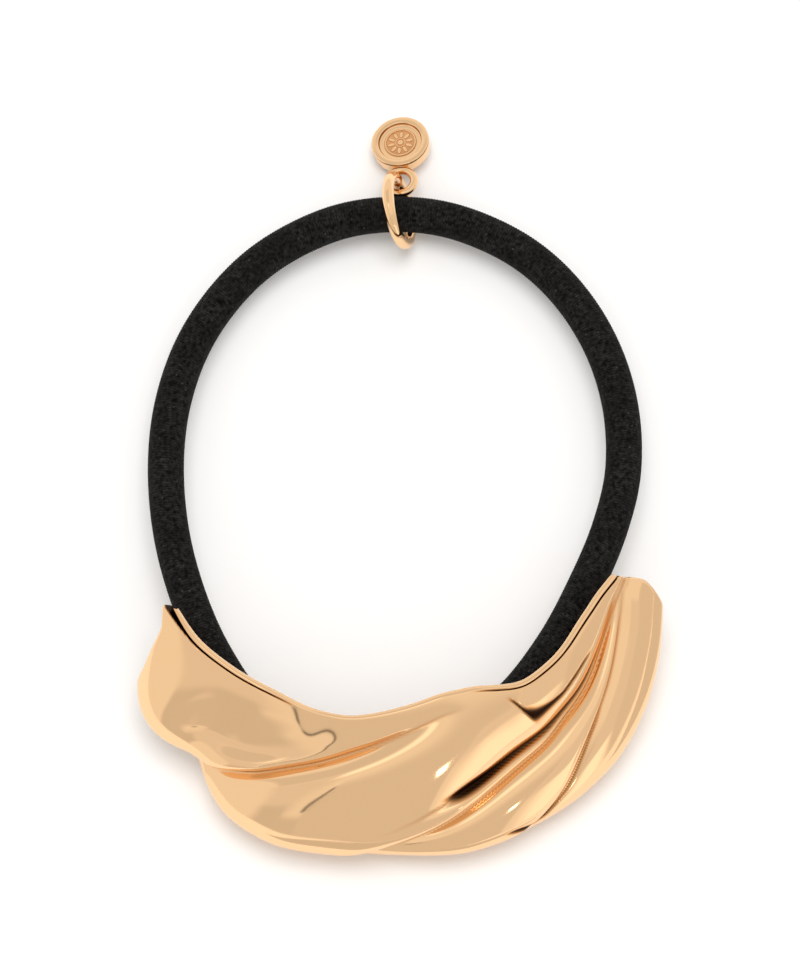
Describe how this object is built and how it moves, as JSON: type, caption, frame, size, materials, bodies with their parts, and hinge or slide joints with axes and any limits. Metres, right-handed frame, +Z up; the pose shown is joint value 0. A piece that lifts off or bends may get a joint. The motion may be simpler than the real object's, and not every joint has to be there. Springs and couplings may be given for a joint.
{
  "type": "hair tie",
  "caption": "Covered hair elastic with a polished twisted metal crescent at its front and a small round charm on a jump ring.",
  "frame": {"origin": "on the surface that the hair tie lies on, at the centre of its bounding box", "axes": "+X along the crescent to the right, +Y from the crescent across the loop to the charm, +Z up"},
  "size_m": [0.0648, 0.0965, 0.0161],
  "materials": {
    "polished_metal": "polished rose gold plating",
    "cord_cover": "fine ribbed black textile cover"
  },
  "bodies": {
    "root": {"ornament": "polished_metal", "elastic_loop": "cord_cover", "jump_ring": "polished_metal", "charm": "polished_metal"}
  },
  "joints": []
}
